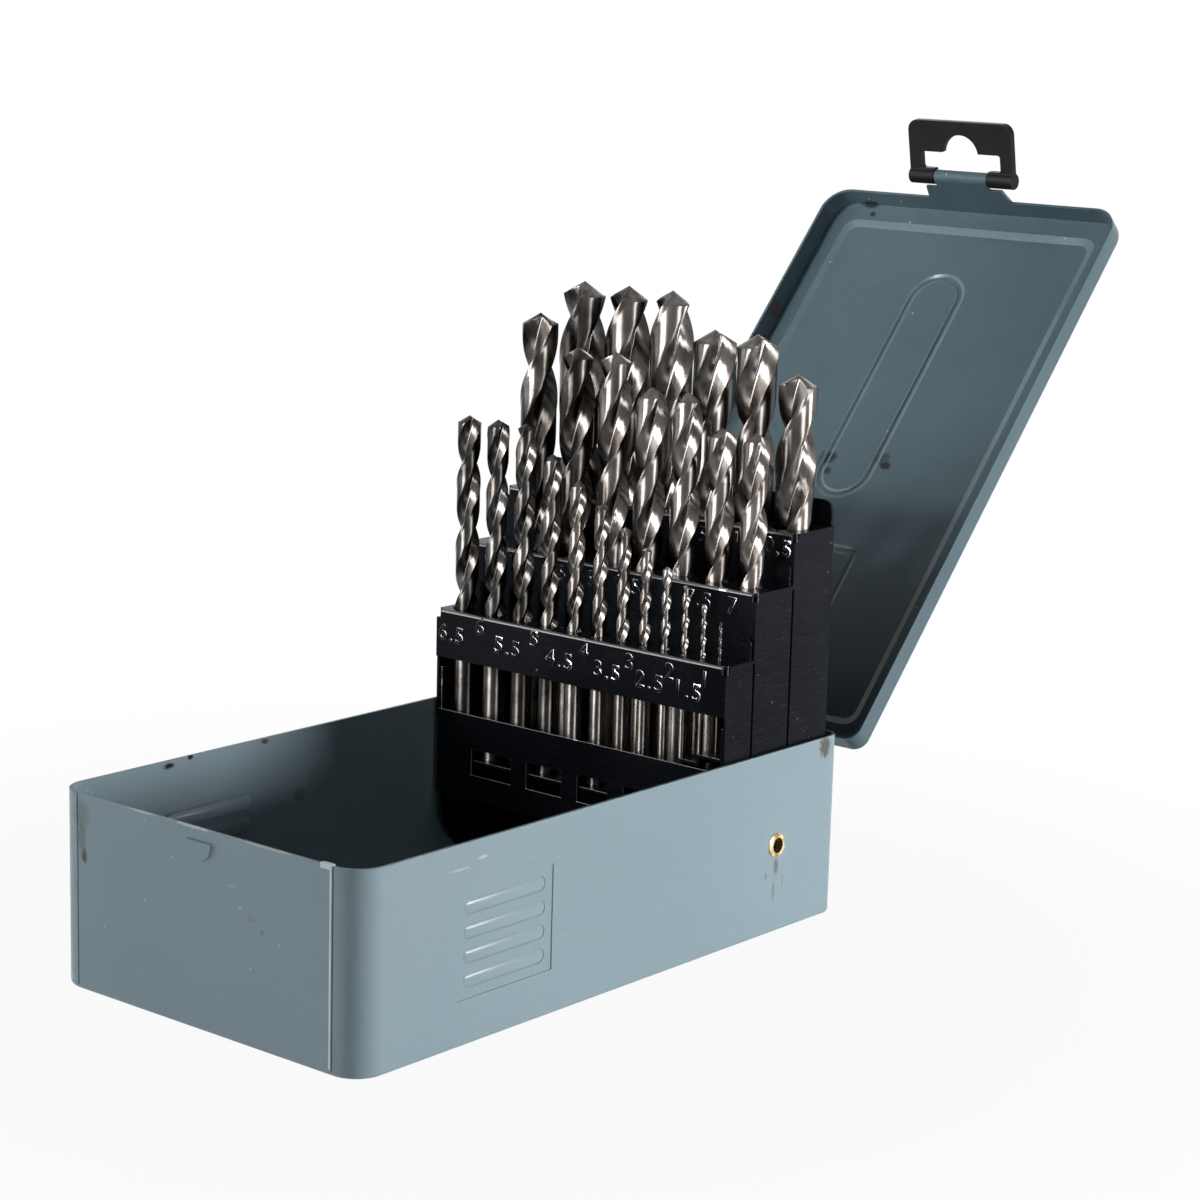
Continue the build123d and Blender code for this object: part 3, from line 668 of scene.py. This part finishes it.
# width, length, corner radius and middle of each bead's path
LONG_BEAD = (16.6, 79.1, 8.2, -120.35)
SQUARE_BEAD = (33.4, 29.4, 3.4, -48.35)
# the flank's outer and inner outlines, and the heights of its foot, its top and its back
FLANK_WIDTH, FLANK_LENGTH, FLANK_RADIUS = 88.85, 168.9, 4.2
FLANK_RUN, FLANK_INNER_RADIUS = 4.6, 3.0
FLANK_FOOT_Z, FLANK_TOP_Z, FLANK_BACK_Z = 8.98, 9.82, 9.95


def bead_tool(name, width, length, radius, middle):
    """A round tube along a closed path, to press a shallow groove into the lid's field, painted
    paler there as a highlight.
    """
    tube = (BEAD_HALF_WIDTH ** 2 + BEAD_DEPTH ** 2) / (2 * BEAD_DEPTH)
    points = rounded_loop(width, length, radius, middle)
    line = bpy.data.curves.new(name, "CURVE")
    line.dimensions = "3D"
    line.bevel_depth = tube
    line.bevel_resolution = 10
    line.fill_mode = "FULL"
    spline = line.splines.new("POLY")
    spline.points.add(len(points) - 1)
    for point, (x, y) in zip(spline.points, points):
        point.co = (x, y, FIELD_INNER_Z - tube + BEAD_DEPTH, 1)
    spline.use_cyclic_u = True
    return press_tool(name, line, lid_highlight_paint, LID_FRAME)


def lid_flank():
    """The sloping flank between the lid's rim plate and its raised field, painted paler as a
    highlight.
    """
    middle = (LID_REAR_Y + LID_FRONT_Y) / 2
    outer = rounded_loop(FLANK_WIDTH, FLANK_LENGTH, FLANK_RADIUS, middle, 6)
    inner = rounded_loop(
        FLANK_WIDTH - FLANK_RUN, FLANK_LENGTH - FLANK_RUN, FLANK_INNER_RADIUS, middle, 6
    )
    body = bmesh.new()
    rings = [
        [body.verts.new((x, y, z)) for x, y in outline]
        for outline, z in ((outer, FLANK_FOOT_Z), (inner, FLANK_TOP_Z), (outer, FLANK_BACK_Z))
    ]
    for first, second in zip(rings, rings[1:] + rings[:1]):
        for n in range(len(first)):
            after = (n + 1) % len(first)
            body.faces.new((first[n], first[after], second[after], second[n]))
    bmesh.ops.recalc_face_normals(body, faces=body.faces)
    mesh = to_mesh(body, "lid_flank")
    # the flank takes the paler paint of a painted highlight
    paint(mesh, lid_highlight_paint)
    place("lid_flank", to_metres(mesh, LID_FRAME), "lid")


def lid_pan():
    tools = [bead_tool("long_bead", *LONG_BEAD), bead_tool("square_bead", *SQUARE_BEAD)]
    eased("lid", lid_shaded_enamel, lid_edge_wear_and_highlight, ease=0.16, tools=tools)
    lid_flank()


# ---- rack, hang tab, rivets and pins ----
TIERS = ("tier_front", "tier_middle", "tier_rear")


def rack_sheets():
    for sheet in ("rack_frame", "rack_front_plate", "rack_floor", "short_bit_step") + TIERS:
        eased(sheet, rack_black, rack_edge_wear_and_highlight, ease=0.14, fold=sheet in TIERS)


def hang_tab():
    eased("hanger", hang_black, hang_black, ease=0.45)


def rivets_and_pins():
    for side in ("left", "right"):
        paint(frame["nodes"]["eyelet_" + side].data, eyelet_brass)
    for pin in ("hinge_pin", "hanger_pin"):
        paint(frame["nodes"][pin].data, pin_steel)


# ---- twist drills: one rule for all twenty-five ----
POINT_ANGLE = 118.0
HELIX_ANGLE = 30.0
POINTS_AROUND = 64
POINTS_ALONG = 150
TIP_ROWS = 14            # rows of the grid that make the ground point
RUN_OUT = 1.6            # the flutes fade out over this many radii above the shank
START_STEP = 2.4         # radians between the starts of neighbouring bits' flutes
# half a turn of the section: share of the turn, share of the radius, and whether it is a corner
FLUTE_SECTION = [
    (0.0, 1.0, True), (0.045, 1.0, True), (0.065, 0.965, True), (0.40, 0.965, True),
    (0.44, 0.93, True), (0.50, 0.62, False), (0.60, 0.37, False), (0.74, 0.29, False),
    (0.88, 0.46, False), (0.965, 0.80, False), (1.0, 1.0, True),
]
DRILL_INPUTS = {
    "Geometry": "NodeSocketGeometry",
    "Radius": "NodeSocketFloat",
    "Length": "NodeSocketFloat",
    "Flute Length": "NodeSocketFloat",
    "Lead": "NodeSocketFloat",
    "Start Turn": "NodeSocketFloat",
    "Foot": "NodeSocketVector",
    "Steel": "NodeSocketMaterial",
}


def rise(tree, value, low, high, to):
    """0 at low and to at high, in a straight line."""
    return tree.node(
        "ShaderNodeMapRange",
        {"Value": value, "From Min": low, "From Max": high, "To Min": 0.0, "To Max": to},
    ).outputs[0]


def section_reach(tree, around):
    """The section's share of the radius, at a share of a whole turn round the drill."""
    half = tree.math("FRACT", tree.math("MULTIPLY", around, 2.0))
    section = tree.node("ShaderNodeFloatCurve", {"Value": half})
    curve = section.mapping.curves[0]
    for share, reach, corner in FLUTE_SECTION[1:-1]:
        curve.points.new(share, reach)
    for point, (share, reach, corner) in zip(curve.points, FLUTE_SECTION):
        point.location = (share, reach)
        point.handle_type = "VECTOR" if corner else "AUTO"
    section.mapping.update()
    return section.outputs[0]


def noted(tree, geometry, name, value):
    """Keeps a number at each point, for the steel to read."""
    kept = tree.node("GeometryNodeStoreNamedAttribute", {"Geometry": geometry, "Name": name})
    tree.put(kept.inputs["Value"], value)
    return kept.outputs[0]


def drill_tree():
    """A drill as a rule: a grid rolled round its axis, turned along the lead, cut to its point."""
    group = bpy.data.node_groups.new("twist_drill", "GeometryNodeTree")
    sockets = {
        name: group.interface.new_socket(name, in_out="INPUT", socket_type=kind)
        for name, kind in DRILL_INPUTS.items()
    }
    group.interface.new_socket("Geometry", in_out="OUTPUT", socket_type="NodeSocketGeometry")
    tree = Tree(group)
    given = group.nodes.new("NodeGroupInput").outputs
    grid = tree.node("GeometryNodeMeshGrid", {
        "Size X": 1.0, "Size Y": 1.0,
        "Vertices X": POINTS_AROUND + 1, "Vertices Y": POINTS_ALONG + 1,
    })
    position = tree.node("GeometryNodeInputPosition").outputs[0]
    spread = tree.node("ShaderNodeSeparateXYZ", {"Vector": position})
    around = tree.math("ADD", spread.outputs["X"], 0.5)
    along = tree.math("ADD", spread.outputs["Y"], 0.5)

    # the first row closes the foot, and the last rows make the point
    foot_share = 1.0 / POINTS_ALONG
    tip_share = 1.0 - TIP_ROWS / POINTS_ALONG
    tip_slope = tan(radians(POINT_ANGLE / 2))
    tip_height = tree.math("DIVIDE", given["Radius"], tip_slope)
    body_height = tree.math("SUBTRACT", given["Length"], tip_height)
    height = tree.math(
        "ADD", rise(tree, along, foot_share, tip_share, body_height),
        rise(tree, along, tip_share, 1.0, tip_height),
    )
    shank_length = tree.math("SUBTRACT", given["Length"], given["Flute Length"])
    above_shank = tree.math("SUBTRACT", height, shank_length)
    fluted = mask(tree, above_shank, 0.0, tree.math("MULTIPLY", given["Radius"], RUN_OUT))

    hollow = tree.math("SUBTRACT", 1.0, section_reach(tree, around))
    depth = tree.math("MULTIPLY", fluted, hollow)
    reach = tree.math("MULTIPLY", given["Radius"], tree.math("SUBTRACT", 1.0, depth))
    cone = tree.math("MULTIPLY", tree.math("SUBTRACT", given["Length"], height), tip_slope)
    reach = tree.math("MINIMUM", reach, cone)
    reach = tree.math("MINIMUM", reach, rise(tree, along, 0.0, foot_share, given["Radius"]))
    turn = tree.math("DIVIDE", tree.math("MULTIPLY", height, 2 * pi), given["Lead"])
    start = tree.math("ADD", turn, given["Start Turn"])
    angle = tree.math("MULTIPLY_ADD", around, 2 * pi, start)
    rolled = tree.node("ShaderNodeCombineXYZ", {
        "X": tree.math("MULTIPLY", reach, tree.math("COSINE", angle)),
        "Y": tree.math("MULTIPLY", reach, tree.math("SINE", angle)),
        "Z": height,
    })
    there = tree.node("ShaderNodeVectorMath", operation="ADD")
    tree.put(there.inputs[0], rolled.outputs[0])
    tree.put(there.inputs[1], given["Foot"])

    moved = tree.node(
        "GeometryNodeSetPosition", {"Geometry": grid.outputs["Mesh"], "Position": there.outputs[0]}
    )
    # the flutes' depth, from which the steel paints their hollows darker as shade
    shape = noted(tree, moved.outputs[0], "flute_depth", depth)
    shape = noted(tree, shape, "shank", tree.math("SUBTRACT", 1.0, fluted))
    closed = tree.node(
        "GeometryNodeMergeByDistance", {"Geometry": shape, "Distance": JOIN_REACH * MM}
    )
    shaded = tree.node("GeometryNodeSetShadeSmooth", {"Geometry": closed.outputs[0]})
    real = tree.node("GeometryNodeRealizeInstances", {"Geometry": shaded.outputs[0]})
    steel = tree.node(
        "GeometryNodeSetMaterial", {"Geometry": real.outputs[0], "Material": given["Steel"]}
    )
    output = group.nodes.new("NodeGroupOutput")
    tree.put(output.inputs[0], steel.outputs[0])
    return group, {name: socket.identifier for name, socket in sockets.items()}


def make_drill(name, group, sockets, order):
    node = "drill_" + name
    low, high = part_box(node)
    radius = float(name.replace("_", ".")) / 2 * MM
    values = {
        "Radius": radius,
        "Length": high.z - low.z,
        "Flute Length": FLUTE_LENGTHS[name] * MM,
        "Lead": 2 * pi * radius / tan(radians(HELIX_ANGLE)),
        "Start Turn": order * START_STEP,
        "Foot": ((low.x + high.x) / 2, (low.y + high.y) / 2, low.z),
        "Steel": flute_steel,
    }
    drill = add_object("twist_" + name, bpy.data.meshes.new("twist_" + name))
    roll = drill.modifiers.new("roll", "NODES")
    roll.node_group = group
    for key, value in values.items():
        roll[sockets[key]] = value
    settle(drill)
    drill.data.set_sharp_from_angle(angle=radians(38))
    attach(drill, node)
    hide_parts(node)


def twist_drills():
    group, sockets = drill_tree()
    for order, name in enumerate(FRONT_BITS + MIDDLE_BITS + REAR_BITS):
        make_drill(name, group, sockets, order)


# ---- stamped size numbers on the rack's flaps ----
DIGIT_RISE = 0.16
DIGIT_EASE = 0.2
DIGIT_GAP = 1.25
DIGIT_LEAN = 3.0
FONT_SHARE = 1.36        # the font's size for a digit one millimetre high
ROW_START_X = -45
DIGIT_FACE = -0.95       # faces that look forwards more than this are a digit's flat front


def stamp(text, x, front, z, height):
    """A raised number on a face that looks towards -Y."""
    words = bpy.data.curves.new("size_" + text, "FONT")
    words.body = text
    words.size = height * FONT_SHARE * MM
    words.align_x = "CENTER"
    words.align_y = "CENTER"
    words.extrude = DIGIT_RISE * MM
    words.bevel_depth = DIGIT_EASE * MM
    words.bevel_resolution = 1
    words.space_character = DIGIT_GAP
    holder = add_object("holder", words)
    mesh = finished_mesh(holder)
    bpy.data.objects.remove(holder)
    mesh.transform(
        Matrix.Translation(Vector((x, front, z)) * MM)
        @ Matrix.Rotation(radians(DIGIT_LEAN), 4, "Y")
        @ Matrix.Rotation(radians(90), 4, "X")
    )
    # the digits' sides take the bare-metal edge finish, partly wear and partly painted glints
    paint(mesh, rack_black, digit_edge_wear_and_glint)
    for polygon in mesh.polygons:
        polygon.material_index = 1 if polygon.normal.y > DIGIT_FACE else 0
    smooth(mesh, crease=40)
    return mesh


def size_text(name):
    whole, part = name.split("_")
    return whole if part == "0" else whole + "." + part


def stamp_row(bits, node, top, whole_drop, half_drop, height, fall=0.0):
    """The sizes along a flap, below its top. They fall by this share of the way to the right."""
    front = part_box(node)[0].y / MM
    for bit in bits:
        low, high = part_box("drill_" + bit)
        x = (low.x + high.x) / 2 / MM
        text = size_text(bit)
        drop = (half_drop if "." in text else whole_drop) + fall * (x - ROW_START_X)
        mesh = stamp(text, x, front, top - drop, height)
        place("size_" + bit, mesh, "rack")


def size_numbers():
    stamp_row(
        FRONT_BITS, "tier_front", top=74.2, whole_drop=2.7, half_drop=6.5, height=4.6, fall=0.02
    )
    stamp_row(MIDDLE_BITS, "tier_middle", top=91.3, whole_drop=4.1, half_drop=4.1, height=4.4)
    stamp_row(REAR_BITS, "tier_rear", top=104.8, whole_drop=4.1, half_drop=4.1, height=4.4)


# ---- floor, light and camera ----
AMBIENT = 0.07
FLOOR_WHITE = 0.93
FLOOR_REACH = 4.0
FLOOR_DROP = 0.0002
SHADOW_NEAR, SHADOW_FAR = 0.12, 0.30
WHITE = (1.0, 1.0, 1.0, 1.0)
LAMP_TARGET = (0, 0, 0.08)


def seen_directly(tree):
    """1 for what the camera sees, itself or in gloss or glass, and 0 for light."""
    path = tree.node("ShaderNodeLightPath")
    seen = tree.math("MAXIMUM", path.outputs["Is Camera Ray"], path.outputs["Is Glossy Ray"])
    return tree.math("MAXIMUM", seen, path.outputs["Is Transmission Ray"])


def pale_floor():
    """A pale matt floor that shows white, with a soft share of the shadow near the object."""
    material, tree, shader, where = new_finish("pale_floor")
    tone = noise(tree, where, scale=3.0, detail=2.0)
    base = ramp(tree, tone, (0.3, (0.60, 0.60, 0.60)), (0.7, (0.64, 0.64, 0.64)))
    tree.put(shader.inputs["Base Color"], base)
    shader.inputs["Roughness"].default_value = 0.8
    white = tree.node("ShaderNodeEmission", {"Color": WHITE, "Strength": 1.0})
    far = mask(tree, measure(tree, "LENGTH", where), SHADOW_NEAR, SHADOW_FAR)
    share = tree.math("MULTIPLY_ADD", far, 1.0 - FLOOR_WHITE, FLOOR_WHITE)
    shown = tree.math("MULTIPLY", seen_directly(tree), share)
    blend = tree.node("ShaderNodeMixShader", {"Fac": shown})
    tree.put(blend.inputs[1], shader.outputs[0])
    tree.put(blend.inputs[2], white.outputs[0])
    output = material.node_tree.nodes["Material Output"]
    tree.put(output.inputs["Surface"], blend.outputs[0])
    return material


def make_floor():
    mesh = bpy.data.meshes.new("floor")
    corners = [
        (x * FLOOR_REACH, y * FLOOR_REACH, -FLOOR_DROP)
        for x, y in ((-1, -1), (1, -1), (1, 1), (-1, 1))
    ]
    mesh.from_pydata(corners, [], [(0, 1, 2, 3)])
    paint(mesh, pale_floor())
    floor = add_object("floor", mesh)


def make_world():
    """White to the camera, and a low even light on the object."""
    world = bpy.data.worlds.new("studio")
    bpy.context.scene.world = world
    world.use_nodes = True
    world.node_tree.nodes.clear()
    tree = Tree(world.node_tree)
    strength = tree.math("MULTIPLY_ADD", seen_directly(tree), 1.0 - AMBIENT, AMBIENT)
    light = tree.node("ShaderNodeBackground", {"Color": WHITE, "Strength": strength})
    output = tree.node("ShaderNodeOutputWorld")
    tree.put(output.inputs["Surface"], light.outputs[0])


def hang_lamp(name, data, place_m, target):
    lamp = add_object(name, data)
    lamp.location = place_m
    aim = Vector(target) - lamp.location
    lamp.rotation_euler = aim.to_track_quat("-Z", "Y").to_euler()
    return lamp


def soft_box(name, azimuth, elevation, distance, size, watts, only_gloss=False):
    """A box lamp round the object: azimuth 0 is before the front wall, and 90 to the right."""
    data = bpy.data.lights.new(name, "AREA")
    data.shape = "RECTANGLE"
    data.size, data.size_y = size
    data.energy = watts
    azimuth, elevation = radians(azimuth), radians(elevation)
    level = distance * cos(elevation)
    place_m = (level * sin(azimuth), -level * cos(azimuth), distance * sin(elevation))
    lamp = hang_lamp(name, data, place_m, LAMP_TARGET)
    lamp.visible_diffuse = not only_gloss


def spot_lamp(name, place_m, target, cone, radius, watts):
    """A soft round lamp whose cone is this many degrees wide."""
    data = bpy.data.lights.new(name, "SPOT")
    data.energy = watts
    data.spot_size = radians(cone)
    data.spot_blend = 1.0
    data.shadow_soft_size = radius
    hang_lamp(name, data, place_m, target)


def make_lamps():
    soft_box("right_box", 120.0, 3.0, distance=1.2, size=(0.34, 0.36), watts=20.4)
    soft_box("left_box", -53.0, 15.0, distance=1.2, size=(0.62, 0.7), watts=6.2)
    # a pool of light on the middle of the open lid
    spot_lamp(
        "lid_spot", (-0.30, -0.45, 0.62), (-0.02, 0.192, 0.164), cone=18.0, radius=0.06, watts=18.0
    )
    soft_box("back_box", 205.0, 24.0, distance=1.3, size=(0.6, 0.5), watts=3.5)
    # two boxes that only polished metal and gloss show
    soft_box("left_streak", -10.0, 19.0, 1.2, (0.6, 0.9), watts=84.0, only_gloss=True)
    soft_box("right_streak", 78.0, 22.0, 1.2, (0.3, 0.8), watts=34.0, only_gloss=True)


# the photograph's camera: its place in millimetres, and the way that it looks in degrees
CAMERA_PLACE = (493.339, -542.966, 241.52)
CAMERA_AZIMUTH, CAMERA_ELEVATION, CAMERA_ROLL = 39.721, 11.629, 1.544
CAMERA_LENS, CAMERA_SENSOR = 90.0, 36.0


def make_camera():
    azimuth, elevation = radians(CAMERA_AZIMUTH), radians(CAMERA_ELEVATION)
    roll = radians(CAMERA_ROLL)
    back = Vector((
        sin(azimuth) * cos(elevation), -cos(azimuth) * cos(elevation), sin(elevation)
    ))
    level = (-back).cross(Vector((0, 0, 1))).normalized()
    upright = level.cross(-back)
    right = cos(roll) * level + sin(roll) * upright
    up = -sin(roll) * level + cos(roll) * upright
    data = bpy.data.cameras.new("camera")
    data.sensor_width = CAMERA_SENSOR
    data.lens = CAMERA_LENS
    data.clip_start = 0.01
    camera = add_object("camera", data)
    rows = [(right[n], up[n], back[n], CAMERA_PLACE[n] * MM) for n in range(3)]
    camera.matrix_world = Matrix((*rows, (0, 0, 0, 1)))
    bpy.context.scene.camera = camera


case_walls()
lid_pan()
seam_fold()
rack_sheets()
hang_tab()
rivets_and_pins()
twist_drills()
size_numbers()
make_floor()
make_world()
make_lamps()
make_camera()
bpy.context.scene.view_settings.view_transform = "Standard"
